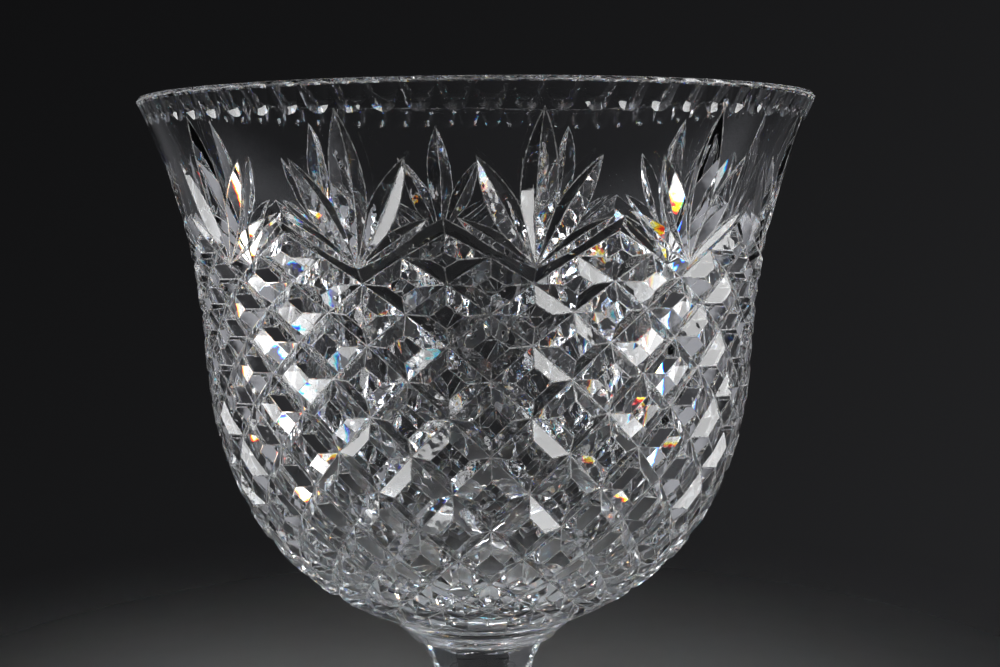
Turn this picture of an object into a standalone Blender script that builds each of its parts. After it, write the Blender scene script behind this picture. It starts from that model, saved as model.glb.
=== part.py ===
"""Footed cut-glass punch bowl.

Four pieces of clear glass stand on one upright axis: foot, stem, collar and bowl. The bowl's
outer wall carries a field of flat-topped diamonds, a fan of five leaf cuts in each notch of the
field's zigzag edge, and a row of thumb flutes under the rim.

Metres, +Z up. The origin is the centre of the foot's underside. A peak of the zigzag faces -Y.
"""

import math

import bmesh
import bpy
import numpy as np
from mathutils import Vector
from mathutils.geometry import delaunay_2d_cdt, interpolate_bezier

MM = 0.001
GAP = 0.3 * MM                        # clear space between two pieces that are fused in real glass
WELD = 0.002 * MM                     # points closer than this are one point

# Driving sizes
TOTAL_HEIGHT = 317.5 * MM
RIM_RADIUS = 153.9 * MM
WAIST_RADIUS = 126.7 * MM             # where the flared lip meets the rounded body
WAIST_HEIGHT = 200.7 * MM
BOWL_BASE_RADIUS = 44.5 * MM
BOWL_BASE_HEIGHT = 75.4 * MM
RIM_HANDLE = Vector((-1.5, -5.3)) * MM            # curve handles of the wall's outline, from their knots
LIP_WAIST_HANDLE = Vector((3.8, 75.9)) * MM
BODY_WAIST_HANDLE = Vector((-5.4, -108.4)) * MM
BASE_HANDLE = Vector((0.0, 4.1)) * MM
COLLAR_BASE_RADIUS = 36.0 * MM
COLLAR_BASE_HEIGHT = 66.1 * MM
FOOT_TOP_RADIUS = 33.5 * MM
FOOT_TOP_HEIGHT = 26.0 * MM
FOOT_RADIUS = 80.0 * MM

# Collar: curve handles of the flare's outline, from its ends
FLARE_TOP_HANDLE = Vector((-0.8, -3.0)) * MM
FLARE_BASE_HANDLE = Vector((2.3, 3.6)) * MM

# Stem: distance of the flats from the axis, and height
SHOULDER = Vector((28.1, 62.3)) * MM              # the edge under the flare that meets the collar
SHOULDER_BAND = Vector((27.4, 60.7)) * MM         # lower edge of the narrow band under it
WAIST = Vector((22.6, 44.0)) * MM
STEM_FOOT_FLAT = 30.5 * MM
STEM_SIDES = 8
STEM_TURN = math.radians(5.5)         # the stem's flats against the bowl's pattern
ARRIS = 1.5 * MM                      # width of each flat taken away by an arris bevel
BAND_HANDLE = Vector((-1.9, -5.6)) * MM           # curve handles of the flats' outline, from their knots
ABOVE_WAIST_HANDLE = Vector((0.0, 6.0)) * MM
BELOW_WAIST_HANDLE = Vector((0.0, -7.0)) * MM
STEM_FOOT_HANDLE = Vector((-5.0, 5.0)) * MM

# Foot: knots and curve handles of its outline
FOOT_SHOULDER = Vector((FOOT_RADIUS - 3.0 * MM, 7.0 * MM))
FOOT_REST = Vector((FOOT_RADIUS - 3.2 * MM, 0.0))
DOME_TOP_HANDLE = Vector((3.5, -9.5)) * MM
DOME_SHOULDER_HANDLE = Vector((-25.0, 4.0)) * MM
EDGE_SHOULDER_HANDLE = Vector((3.0, -0.6)) * MM
EDGE_REST_HANDLE = Vector((3.6, 0.0)) * MM
FOOT_HOLLOW = ((60.0, 0.0), (54.0, 2.0), (30.0, 3.0), (0.0, 3.4))      # radius and height, in mm

# Bowl wall
LIP_THICKNESS = 5.5 * MM
WALL_THICKNESS = 9.5 * MM
THICK_FROM = 120.0 * MM               # distance down the wall where it reaches its full thickness
FLOOR_HEIGHT = 86.5 * MM
FLOOR_START = 250.0 * MM              # distance down the wall where the inside turns to the floor
FLOOR_FLAT = 12.0 * MM                # radius of the flat middle of the floor
FLOOR_TURN = 18.0 * MM                # handle length of the turn from wall to floor
RIM_BEVEL = 1.7 * MM
RIM_EASE = 1.0 * MM
INSIDE_SEARCH_STEP = 0.1 * MM         # step down the wall when the inner lip is searched for

# Wheel cuts on the bowl
FANS = 12
SLICE = math.radians(15.0)            # half the pitch of a fan: the pattern mirrors about its edges
COLUMN = SLICE / 2                    # half the width of a diamond
CUT_DEPTH = 3.4 * MM
CUT_HALF_WIDTH = 5.9 * MM
BANK_SLOPE = CUT_DEPTH / CUT_HALF_WIDTH
PEAK_HEIGHT = 259.9 * MM              # height of the topmost crossing of the diamond cuts
FIRST_STEEPNESS = 0.532               # row spacing over column width, at the top row
STEEPNESS_GAIN = 0.0731               # added for each row down
FULL_STEEPNESS = 1.15
CROSSING_ROWS = 15
SMALLEST_TABLE = 0.28                 # least size of a diamond's flat top, against the diamond
PATTERN_END_HEIGHT = 80.5 * MM

# The leaves of a fan: tip's angle from the fan's axis, tip's height, half width, segments
CENTRE_LEAF = (0.0, 306.5 * MM, 7.1 * MM, 6)
SIDE_LEAF = (math.radians(9.6), 288.9 * MM, 5.5 * MM, 5)
LOW_LEAF = (math.radians(12.6), 266.3 * MM, 3.8 * MM, 4)

# Thumb flutes under the rim
FLUTES_PER_SLICE = 3
FLUTE_HALF_WIDTH = 5.0 * MM
FLUTE_BOTTOM_HEIGHT = 305.2 * MM
FLUTE_DEPTH = 1.0 * MM
FLUTE_ARC_STEPS = 6

BOWL_STEPS = 72                       # facets round the bowl's smooth faces
TURN_STEPS = 48                       # facets round the collar and the foot
WALL_STEPS = 50                       # points along each curve of the wall's outline
FLOOR_STEPS = 6                       # points along the turn from wall to floor
BASE_RINGS = 3                        # rings of the plain wall under the pattern
FLARE_STEPS = 8                       # points along the collar's outline
STEM_STEPS = (7, 6)                   # points above and below the stem's waist
DOME_STEPS = 9
FOOT_EDGE_STEPS = 5
INSIDE_STEPS = 10                     # rings of the inner face above the floor
RIDGE_SEGMENTS = 3
BISECTIONS = 30                       # halvings when two cuts' meeting point is searched for
FORK_SEARCH = (0.1, 0.95)             # shares of a cut between which its fork is searched for
SHORTEST_SEGMENT = 0.4                # least length of an edge's first segment, against the others
SAME_ANGLE = 1e-6                     # points closer than this, in radians, are one point
SOFT_CREASE = math.radians(12)        # creases flatter than this are shaded smooth

GLASS_IOR = 1.545                     # of lead glass


def clear_scene():
    for existing in list(bpy.data.objects):
        bpy.data.objects.remove(existing, do_unlink=True)


def curve(start, start_handle, end_handle, end, steps):
    """A cubic curve through radius and height pairs, ends included."""
    return interpolate_bezier(Vector(start), Vector(start_handle), Vector(end_handle), Vector(end), steps)


def on_circle(radius, angle, height):
    """A point of the model; the angle is measured from -Y towards +X."""
    return Vector((radius * math.sin(angle), -radius * math.cos(angle), height))


class Wall:
    """The bowl's outer outline, measured by the distance down it from the rim."""

    def __init__(self, outline):
        self.radii = [point.x for point in outline]
        self.heights = [point.y for point in outline]
        steps = [(lower - upper).length for upper, lower in zip(outline, outline[1:])]
        self.distances = np.concatenate(([0.0], np.cumsum(steps)))

    def at(self, distance):
        radius = np.interp(distance, self.distances, self.radii)
        height = np.interp(distance, self.distances, self.heights)
        return Vector((float(radius), float(height)))

    def outward(self, distance):
        downward = self.at(distance + MM) - self.at(distance - MM)
        return Vector((-downward.y, downward.x)).normalized()

    def distance_at(self, height):
        return float(np.interp(-height, [-value for value in self.heights], self.distances))

    def inside(self, distance):
        """The point of the inner face behind a point of the outer one."""
        share = min(1.0, distance / THICK_FROM)
        thickness = LIP_THICKNESS + (WALL_THICKNESS - LIP_THICKNESS) * share
        return self.at(distance) - self.outward(distance) * thickness


def bowl_wall():
    rim = Vector((RIM_RADIUS, TOTAL_HEIGHT))
    waist = Vector((WAIST_RADIUS, WAIST_HEIGHT))
    base = Vector((BOWL_BASE_RADIUS, BOWL_BASE_HEIGHT))
    lip = curve(rim, rim + RIM_HANDLE, waist + LIP_WAIST_HANDLE, waist, WALL_STEPS)
    body = curve(waist, waist + BODY_WAIST_HANDLE, base + BASE_HANDLE, base, WALL_STEPS)
    return Wall(lip + body[1:])


class Cut:
    """A V-shaped wheel cut along a straight line on the unrolled wall.

    Its points are pairs: distance across from the fan's axis, and distance down the wall.
    A leaf narrows to a point at both ends, and any other cut keeps its width.
    """

    def __init__(self, start, end, half_width, leaf):
        self.start = start
        self.length = (end - start).length
        self.direction = (end - start) / self.length
        self.side = Vector((-self.direction.y, self.direction.x))
        self.full_half_width = half_width
        self.leaf = leaf

    def half_width(self, along):
        if not self.leaf:
            return self.full_half_width
        share = min(max(along / self.length, 0.0), 1.0)
        return self.full_half_width * 4 * share * (1 - share)

    def at(self, along, side=0.0):
        """A point of the bottom line, or of an edge when side is -1 or 1."""
        return self.start + self.direction * along + self.side * self.half_width(along) * side

    def depth(self, point):
        offset = point - self.start
        along = offset.dot(self.direction)
        return (self.half_width(along) - abs(offset.dot(self.side))) * BANK_SLOPE


def ridge(first, second, along):
    """The point, this far along two neighbouring cuts, where both are equally deep."""
    inner = first.at(along)
    outer = second.at(along)
    for _ in range(BISECTIONS):
        middle = (inner + outer) / 2
        if first.depth(middle) > second.depth(middle):
            inner = middle
        else:
            outer = middle
    return inner


def fork(first, second):
    """How far along two neighbouring cuts their ridge comes up to the wall's surface."""
    near, far = (share * second.length for share in FORK_SEARCH)
    for _ in range(BISECTIONS):
        middle = (near + far) / 2
        if first.depth(ridge(first, second, middle)) > 0:
            near = middle
        else:
            far = middle
    return near


class Slice:
    """The creases of one slice of the cut wall, from a peak's axis to a fan's axis."""

    def __init__(self, wall):
        self.wall = wall
        self.points = []
        self.creases = []

    def point(self, angle, distance, depth=0.0):
        for index, known in enumerate(self.points):
            if abs(known[0] - angle) < SAME_ANGLE and abs(known[1] - distance) < WELD:
                return index
        self.points.append((angle, distance, depth))
        return len(self.points) - 1

    def flat_point(self, flat, depth=0.0):
        """Adds a point given by its distance across from the fan's axis."""
        angle = SLICE - flat.x / self.wall.at(flat.y).x
        return self.point(angle, flat.y, depth)

    def crease(self, *indices):
        self.creases.extend(zip(indices, indices[1:]))

    def triangles(self):
        scale = self.wall.at(THICK_FROM).x
        flat = [Vector((angle * scale, distance)) for angle, distance, _ in self.points]
        result = delaunay_2d_cdt(flat, self.creases, [], 0, WELD)
        corners, faces, sources = result[0], result[2], result[3]
        if any(not source for source in sources):
            raise ValueError("two creases of the cut pattern cross")
        kept = []
        for face in faces:
            a, b, c = (corners[index] for index in face)
            if abs((b - a).cross(c - a)) > WELD * MM:
                kept.append([sources[index][0] for index in face])
        return kept


def crossing_rows(wall):
    """Distances down the wall of the rings of points where the diamond cuts cross."""
    rows = [wall.distance_at(PEAK_HEIGHT)]
    for row in range(CROSSING_ROWS - 1):
        steepness = min(FULL_STEEPNESS, FIRST_STEEPNESS + STEEPNESS_GAIN * row)
        width = wall.at(rows[-1] + CUT_HALF_WIDTH).x * COLUMN
        rows.append(rows[-1] + width * steepness)
    return rows


def cut_diamond(piece, rows, row, column):
    """One diamond: four sloping banks round a flat top, or half of it at a slice's edge."""
    angle = column * COLUMN
    width = COLUMN * piece.wall.at(rows[row]).x
    height = (rows[row + 1] - rows[row - 1]) / 2
    table = max(SMALLEST_TABLE, 1 - CUT_HALF_WIDTH * math.hypot(width, height) / (width * height))
    top = piece.point(angle, rows[row - 1], CUT_DEPTH)
    bottom = piece.point(angle, rows[row + 1], CUT_DEPTH)
    table_top = piece.point(angle, rows[row] + table * (rows[row - 1] - rows[row]))
    table_bottom = piece.point(angle, rows[row] + table * (rows[row + 1] - rows[row]))
    piece.crease(top, table_top, table_bottom, bottom)
    for side in (-1, 1):
        if 0 <= column + side <= 2:
            corner = piece.point(angle + side * COLUMN, rows[row], CUT_DEPTH)
            table_corner = piece.point(angle + side * COLUMN * table, rows[row])
            piece.crease(top, corner, bottom)
            piece.crease(table_top, table_corner, table_bottom)
            piece.crease(corner, table_corner)


def cut_diamonds(piece, rows):
    for row in range(1, CROSSING_ROWS - 1):
        for column in range(min(row, 3)):
            if (row + column) % 2 == 1:
                cut_diamond(piece, rows, row, column)


def bank_rise(piece, rows, upper, lower, columns):
    """How far a border cut's edge lies above or below its bottom, down the wall."""
    run = columns * COLUMN * piece.wall.at(rows[upper]).x
    return CUT_HALF_WIDTH * math.hypot(run, rows[lower] - rows[upper]) / run


def cut_lower_border(piece, rows):
    last = CROSSING_ROWS - 1
    drop = bank_rise(piece, rows, last - 1, last, 1)
    edge = []
    for column in range(3):
        row = last - column % 2
        crossing = piece.point(column * COLUMN, rows[row], CUT_DEPTH)
        edge.append(piece.point(column * COLUMN, rows[row] + drop))
        piece.crease(crossing, edge[-1])
    piece.crease(*edge)


def leaf_cut(piece, base, leaf):
    angle, height, half_width, _ = leaf
    distance = piece.wall.distance_at(height)
    return Cut(base, Vector((angle * piece.wall.at(distance).x, distance)), half_width, True)


def cut_leaf_bottom(piece, cut, base, segments):
    """The bottom line of a leaf, and the index of its tip."""
    line = [base]
    for step in range(1, segments):
        along = cut.length * step / segments
        line.append(piece.flat_point(cut.at(along), cut.depth(cut.at(along))))
    line.append(piece.flat_point(cut.at(cut.length)))
    piece.crease(*line)
    return line[-1]


def cut_edge(piece, cut, start, place, tip, segments):
    """The edge of a leaf from the place where it leaves its neighbour to its tip."""
    start_along = (place - cut.start).dot(cut.direction)
    side = math.copysign(1.0, (place - cut.start).dot(cut.side))
    edge = [start]
    for step in range(1, segments):
        along = cut.length * step / segments
        if along > start_along + SHORTEST_SEGMENT * cut.length / segments:
            edge.append(piece.flat_point(cut.at(along, side)))
    piece.crease(*edge, tip)


def cut_ridge(piece, first, second, base):
    """The ridge between two neighbouring cuts, and the fork at its end."""
    end = fork(first, second)
    line = [base]
    for step in range(1, RIDGE_SEGMENTS):
        place = ridge(first, second, end * step / RIDGE_SEGMENTS)
        line.append(piece.flat_point(place, max(0.0, first.depth(place))))
    place = ridge(first, second, end)
    line.append(piece.flat_point(place))
    piece.crease(*line)
    return line[-1], place


def cut_fan(piece, rows):
    """Half of a fan of leaves, and the zigzag border below it."""
    wall = piece.wall
    rise = bank_rise(piece, rows, 0, 2, 2)
    peak = piece.point(0.0, rows[0], CUT_DEPTH)
    valley = piece.point(SLICE, rows[2], CUT_DEPTH)
    peak_edge = piece.point(0.0, rows[0] - rise)
    base = piece.point(SLICE, rows[2] - rise)
    piece.crease(peak, peak_edge)
    piece.crease(valley, base)

    base_flat = Vector((0.0, rows[2] - rise))
    centre = leaf_cut(piece, base_flat, CENTRE_LEAF)
    side = leaf_cut(piece, base_flat, SIDE_LEAF)
    low = leaf_cut(piece, base_flat, LOW_LEAF)
    border_end = Vector((SLICE * wall.at(rows[0]).x, rows[0]))
    border = Cut(Vector((0.0, rows[2])), border_end, CUT_HALF_WIDTH, False)

    leaves = []
    for cut, leaf in ((centre, CENTRE_LEAF), (side, SIDE_LEAF), (low, LOW_LEAF)):
        segments = leaf[3]
        leaves.append((cut, segments, cut_leaf_bottom(piece, cut, base, segments)))
    for pair in zip(leaves, leaves[1:]):
        end, place = cut_ridge(piece, pair[0][0], pair[1][0], base)
        for cut, segments, tip in pair:
            cut_edge(piece, cut, end, place, tip, segments)
    end, place = cut_ridge(piece, low, border, base)
    cut, segments, tip = leaves[-1]
    cut_edge(piece, cut, end, place, tip, segments)
    piece.crease(end, peak_edge)


def cut_flutes(piece):
    """Scoops that run up to the bevel of the rim and end below in a half circle."""
    wall = piece.wall
    pitch = SLICE / FLUTES_PER_SLICE
    centre_distance = wall.distance_at(FLUTE_BOTTOM_HEIGHT) - FLUTE_HALF_WIDTH
    radius = wall.at(centre_distance).x
    top_row = [piece.point(0.0, RIM_BEVEL)]
    for flute in range(FLUTES_PER_SLICE):
        angle = (flute + 0.5) * pitch
        outline = [top_row[-1]]
        for step in range(FLUTE_ARC_STEPS + 1):
            turn = math.pi * step / FLUTE_ARC_STEPS
            across = -math.cos(turn) * FLUTE_HALF_WIDTH / radius
            outline.append(piece.point(angle + across, centre_distance + math.sin(turn) * FLUTE_HALF_WIDTH))
        corner = piece.point(angle + pitch / 2, RIM_BEVEL)
        piece.crease(*outline, corner)
        crown = piece.point(angle, RIM_BEVEL, FLUTE_DEPTH)
        piece.crease(crown, piece.point(angle, centre_distance, FLUTE_DEPTH))
        top_row.extend((crown, corner))
    piece.crease(*top_row)


def cut_slice(wall):
    piece = Slice(wall)
    rows = crossing_rows(wall)
    cut_diamonds(piece, rows)
    cut_lower_border(piece, rows)
    cut_fan(piece, rows)
    cut_flutes(piece)
    end = wall.distance_at(PATTERN_END_HEIGHT)
    columns = BOWL_STEPS // (2 * FANS)
    piece.crease(*(piece.point(SLICE * step / columns, end) for step in range(columns + 1)))
    return piece


def add_triangle(mesh, corners):
    mesh.faces.new([mesh.verts.new(corner) for corner in corners])


def add_cut_wall(mesh, piece):
    """Lays the slice round the bowl, every second one mirrored."""
    triangles = piece.triangles()
    for number in range(2 * FANS):
        for triangle in triangles:
            corners = []
            for index in triangle:
                angle, distance, depth = piece.points[index]
                turned = (number + 1) * SLICE - angle if number % 2 else number * SLICE + angle
                place = piece.wall.at(distance) - piece.wall.outward(distance) * depth
                corners.append(on_circle(place.x, turned, place.y))
            add_triangle(mesh, corners)


def ring(place, count):
    return [on_circle(place.x, 2 * math.pi * step / count, place.y) for step in range(count)]


def add_band(mesh, first, second):
    """Triangles between two rings that start at the same angle."""
    i = 0
    j = 0
    while i < len(first) or j < len(second):
        near = first[i % len(first)]
        far = second[j % len(second)]
        if j == len(second) or (i < len(first) and (i + 1) * len(second) <= (j + 1) * len(first)):
            i += 1
            add_triangle(mesh, (near, first[i % len(first)], far))
        else:
            j += 1
            add_triangle(mesh, (near, second[j % len(second)], far))


def add_disc(mesh, rim, centre):
    for step, corner in enumerate(rim):
        add_triangle(mesh, (corner, rim[(step + 1) % len(rim)], centre))


def rim_ring(wall):
    """The outer ring of the rim, dented where each flute runs out."""
    count = 4 * FANS * FLUTES_PER_SLICE
    place = wall.at(RIM_BEVEL)
    dented = place - wall.outward(RIM_BEVEL) * FLUTE_DEPTH
    corners = []
    for step in range(count):
        spot = dented if step % 2 else place
        corners.append(on_circle(spot.x, 2 * math.pi * step / count, spot.y))
    return corners


def inner_outline(wall):
    """The inside from just under the lip down to the edge of the floor's centre."""
    start = 0.0
    while wall.inside(start).y > TOTAL_HEIGHT - RIM_EASE:
        start += INSIDE_SEARCH_STEP
    lip = [wall.inside(distance) for distance in np.linspace(start, FLOOR_START, INSIDE_STEPS)]
    last = lip[-1]
    handle = last + (last - lip[-2]).normalized() * FLOOR_TURN
    floor = curve(last, handle, (FLOOR_FLAT + FLOOR_TURN, FLOOR_HEIGHT), (FLOOR_FLAT, FLOOR_HEIGHT),
                  FLOOR_STEPS)
    return lip + floor[1:]


def build_bowl():
    wall = bowl_wall()
    piece = cut_slice(wall)
    mesh = bmesh.new()
    add_cut_wall(mesh, piece)

    inner = inner_outline(wall)
    outer_top = Vector((RIM_RADIUS - RIM_BEVEL, TOTAL_HEIGHT))
    inner_top = Vector((inner[0].x + RIM_EASE, TOTAL_HEIGHT))
    rings = [rim_ring(wall), ring(outer_top, BOWL_STEPS), ring(inner_top, BOWL_STEPS)]
    rings += [ring(place, BOWL_STEPS) for place in inner]
    for upper, lower in zip(rings, rings[1:]):
        add_band(mesh, upper, lower)
    add_disc(mesh, rings[-1], Vector((0.0, 0.0, FLOOR_HEIGHT)))

    base_height = BOWL_BASE_HEIGHT + GAP
    pattern_end = wall.distance_at(PATTERN_END_HEIGHT)
    distances = np.linspace(pattern_end, wall.distance_at(base_height), BASE_RINGS)
    lower = [ring(wall.at(distance), BOWL_STEPS) for distance in distances]
    for upper_ring, lower_ring in zip(lower, lower[1:]):
        add_band(mesh, upper_ring, lower_ring)
    add_disc(mesh, lower[-1], Vector((0.0, 0.0, base_height)))

    bmesh.ops.remove_doubles(mesh, verts=mesh.verts, dist=WELD)
    bmesh.ops.recalc_face_normals(mesh, faces=mesh.faces)
    bowl = object_from("bowl", mesh)
    bowl.data.shade_smooth()
    bowl.data.set_sharp_from_angle(angle=SOFT_CREASE)
    return bowl


def object_from(name, mesh):
    data = bpy.data.meshes.new(name)
    mesh.to_mesh(data)
    mesh.free()
    made = bpy.data.objects.new(name, data)
    bpy.context.collection.objects.link(made)
    return made


def turned(name, outline):
    """A solid turned about the upright axis, from an outline that runs down its outer side."""
    mesh = bmesh.new()
    points = [mesh.verts.new((place[0], 0.0, place[1])) for place in outline]
    for upper, lower in zip(points, points[1:]):
        mesh.edges.new((upper, lower))
    made = object_from(name, mesh)
    screw = made.modifiers.new("turn", "SCREW")
    screw.axis = "Z"
    screw.angle = 2 * math.pi
    screw.steps = TURN_STEPS
    screw.render_steps = TURN_STEPS
    screw.use_merge_vertices = True
    screw.merge_threshold = WELD
    screw.use_smooth_shade = True
    return made


def build_collar():
    """A round merese: it carries the bowl's flare down to the stem's shoulder."""
    top = Vector((BOWL_BASE_RADIUS, BOWL_BASE_HEIGHT))
    bottom = Vector((COLLAR_BASE_RADIUS, COLLAR_BASE_HEIGHT))
    flare = curve(top, top + FLARE_TOP_HANDLE, bottom + FLARE_BASE_HANDLE, bottom, FLARE_STEPS)
    outline = [(0.0, top.y)] + flare + [(0.0, bottom.y)]
    return turned("collar", outline)


def stem_outline():
    """Distance of the stem's flats from its axis, and height, below the shoulder."""
    foot = Vector((STEM_FOOT_FLAT, FOOT_TOP_HEIGHT + GAP))
    above, below = STEM_STEPS
    upper = curve(SHOULDER_BAND, SHOULDER_BAND + BAND_HANDLE, WAIST + ABOVE_WAIST_HANDLE, WAIST, above)
    lower = curve(WAIST, WAIST + BELOW_WAIST_HANDLE, foot + STEM_FOOT_HANDLE, foot, below)
    return [SHOULDER] + upper + lower[1:]


def flats_ring(place):
    """A ring of the stem: the ends of each flat, with an arris bevel between two flats."""
    apothem, height = place
    half_flat = apothem * math.tan(math.pi / STEM_SIDES) - ARRIS
    corners = []
    for side in range(STEM_SIDES):
        middle = STEM_TURN + 2 * math.pi * side / STEM_SIDES
        for across in (-half_flat, half_flat):
            turn = math.atan2(across, apothem)
            corners.append(on_circle(math.hypot(apothem, across), middle + turn, height))
    return corners


def build_stem():
    """A waisted shaft with eight flats and bevelled arrises, flared to a round top."""
    outline = stem_outline()
    rings = [flats_ring(place) for place in outline]
    top_height = COLLAR_BASE_HEIGHT - GAP
    top = []
    for corner in rings[0]:
        direction = Vector((corner.x, corner.y, 0.0)).normalized()
        top.append(direction * COLLAR_BASE_RADIUS + Vector((0.0, 0.0, top_height)))
    rings.insert(0, top)
    mesh = bmesh.new()
    for upper_ring, lower_ring in zip(rings, rings[1:]):
        add_band(mesh, upper_ring, lower_ring)
    add_disc(mesh, rings[0], Vector((0.0, 0.0, top_height)))
    add_disc(mesh, rings[-1], Vector((0.0, 0.0, outline[-1].y)))
    bmesh.ops.remove_doubles(mesh, verts=mesh.verts, dist=WELD)
    bmesh.ops.recalc_face_normals(mesh, faces=mesh.faces)
    stem = object_from("stem", mesh)
    stem.data.shade_smooth()
    stem.data.set_sharp_from_angle(angle=SOFT_CREASE)
    return stem


def build_foot():
    """A domed round foot; the bowl stands on a flat ground ring round a shallow hollow."""
    shoulder = FOOT_SHOULDER
    rest = FOOT_REST
    top = Vector((FOOT_TOP_RADIUS, FOOT_TOP_HEIGHT))
    dome = curve(top, top + DOME_TOP_HANDLE, shoulder + DOME_SHOULDER_HANDLE, shoulder, DOME_STEPS)
    edge = curve(shoulder, shoulder + EDGE_SHOULDER_HANDLE, rest + EDGE_REST_HANDLE, rest, FOOT_EDGE_STEPS)
    hollow = [Vector(place) * MM for place in FOOT_HOLLOW]
    return turned("foot", [(0.0, FOOT_TOP_HEIGHT)] + dome + edge[1:] + hollow)


def glass(name, colour, roughness):
    made = bpy.data.materials.new(name)
    made.use_nodes = True
    shader = made.node_tree.nodes["Principled BSDF"]
    shader.inputs["Base Color"].default_value = (*colour, 1.0)
    shader.inputs["Roughness"].default_value = roughness
    shader.inputs["Metallic"].default_value = 0.0
    shader.inputs["IOR"].default_value = GLASS_IOR
    shader.inputs["Transmission Weight"].default_value = 1.0
    return made


def build_punch_bowl():
    clear_scene()
    pieces = [
        (build_foot(), (0.93, 0.95, 0.97), 0.02),
        (build_stem(), (0.94, 0.96, 0.98), 0.01),
        (build_collar(), (0.95, 0.96, 0.97), 0.01),
        (build_bowl(), (0.96, 0.97, 0.98), 0.01),
    ]
    stand = bpy.data.objects.new("punch_bowl", None)
    bpy.context.collection.objects.link(stand)
    for piece, colour, roughness in pieces:
        piece.data.materials.append(glass(piece.name + "_glass", colour, roughness))
        piece.parent = stand


build_punch_bowl()
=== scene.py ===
"""Looks of the footed cut-glass punch bowl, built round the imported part.

Metres, +Z up, in the part's own frame: the foot stands on Z = 0 and a peak of the bowl's zigzag
faces -Y. Each of the four glass pieces is modelled again at full detail in place of its CAD solid.
"""

import math

import bmesh
import bpy
import numpy as np
from mathutils import Matrix, Vector
from mathutils.geometry import delaunay_2d_cdt, interpolate_bezier


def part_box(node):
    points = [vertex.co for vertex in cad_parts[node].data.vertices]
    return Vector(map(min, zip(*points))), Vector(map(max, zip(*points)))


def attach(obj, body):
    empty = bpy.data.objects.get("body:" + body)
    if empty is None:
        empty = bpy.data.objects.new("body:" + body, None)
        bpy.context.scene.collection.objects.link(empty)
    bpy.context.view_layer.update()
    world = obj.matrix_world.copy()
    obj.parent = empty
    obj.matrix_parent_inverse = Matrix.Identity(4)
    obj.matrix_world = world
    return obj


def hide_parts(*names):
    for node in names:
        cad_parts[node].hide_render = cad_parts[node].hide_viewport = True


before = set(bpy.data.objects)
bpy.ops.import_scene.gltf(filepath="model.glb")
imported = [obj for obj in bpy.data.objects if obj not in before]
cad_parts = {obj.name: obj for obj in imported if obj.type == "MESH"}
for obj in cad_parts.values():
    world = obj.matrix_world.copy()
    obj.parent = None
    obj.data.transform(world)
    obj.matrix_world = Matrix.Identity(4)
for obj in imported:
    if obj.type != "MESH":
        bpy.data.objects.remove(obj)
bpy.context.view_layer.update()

MM = 0.001
WELD = 0.002 * MM                     # points closer than this are one point

# Sizes read from the frame
BEVEL_LOSS = 0.61 * MM                # what the rim's bevel takes off the radius of its sharp corner
RIM_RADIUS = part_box("bowl")[1].x + BEVEL_LOSS
TOTAL_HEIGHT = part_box("bowl")[1].z
BOWL_BASE_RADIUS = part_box("collar")[1].x
BOWL_BASE_HEIGHT = (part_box("bowl")[0].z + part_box("collar")[1].z) / 2
COLLAR_BASE_HEIGHT = (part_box("collar")[0].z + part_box("stem")[1].z) / 2
FOOT_TOP_HEIGHT = (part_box("stem")[0].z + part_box("foot")[1].z) / 2
FOOT_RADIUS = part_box("foot")[1].x

# Outline of the bowl's wall: knots and curve handles, as radius and height
WAIST = Vector((RIM_RADIUS - 27.2 * MM, TOTAL_HEIGHT - 116.8 * MM))
RIM_HANDLE = Vector((-1.5, -5.3)) * MM
LIP_WAIST_HANDLE = Vector((3.8, 75.9)) * MM
BODY_WAIST_HANDLE = Vector((-5.4, -108.4)) * MM
BASE_HANDLE = Vector((0.0, 4.1)) * MM
LIP_THICKNESS = 5.5 * MM
WALL_THICKNESS = 9.5 * MM
THICK_FROM = 120.0 * MM               # distance down the wall where it reaches its full thickness
FLOOR_HEIGHT = BOWL_BASE_HEIGHT + 11.1 * MM
FLOOR_START = 250.0 * MM              # distance down the wall where the inside turns to the floor
FLOOR_FLAT = 3.0 * MM                 # radius of the flat middle of the floor
FLOOR_TURN = 18.0 * MM                # handle length of the turn from wall to floor
RIM_BEVEL = 1.7 * MM
RIM_EASE = 1.0 * MM
INSIDE_SEARCH_STEP = 0.1 * MM         # step down the wall when the inner lip is searched for

# Waves of the blown inner face: height, and strength, waves round and twist per metre of each
RIPPLE = 0.10 * MM
RIPPLE_WAVES = ((1.0, 3, 40.0), (0.6, 7, -90.0), (0.4, 11, 160.0))
RIPPLE_BELOW_LIP = 20.0 * MM          # the waves grow to their full height over this drop
RIPPLE_OUTWARD = 40.0 * MM            # and over this distance from the axis

# Wheel cuts on the bowl
FANS = 12
SLICE = math.radians(15.0)            # half the pitch of a fan: the pattern mirrors about its edges
COLUMN = SLICE / 2                    # half the width of a diamond
CUT_DEPTH = 3.4 * MM
CUT_HALF_WIDTH = 5.9 * MM
BANK_SLOPE = CUT_DEPTH / CUT_HALF_WIDTH
PEAK_HEIGHT = TOTAL_HEIGHT - 57.6 * MM
FIRST_STEEPNESS = 0.532               # row spacing over column width, at the top row
STEEPNESS_GAIN = 0.0731               # added for each row down
FULL_STEEPNESS = 1.15
CROSSING_ROWS = 15
SMALLEST_TABLE = 0.28                 # least size of a diamond's flat top, against the diamond
PATTERN_END_HEIGHT = BOWL_BASE_HEIGHT + 5.0 * MM

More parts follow.
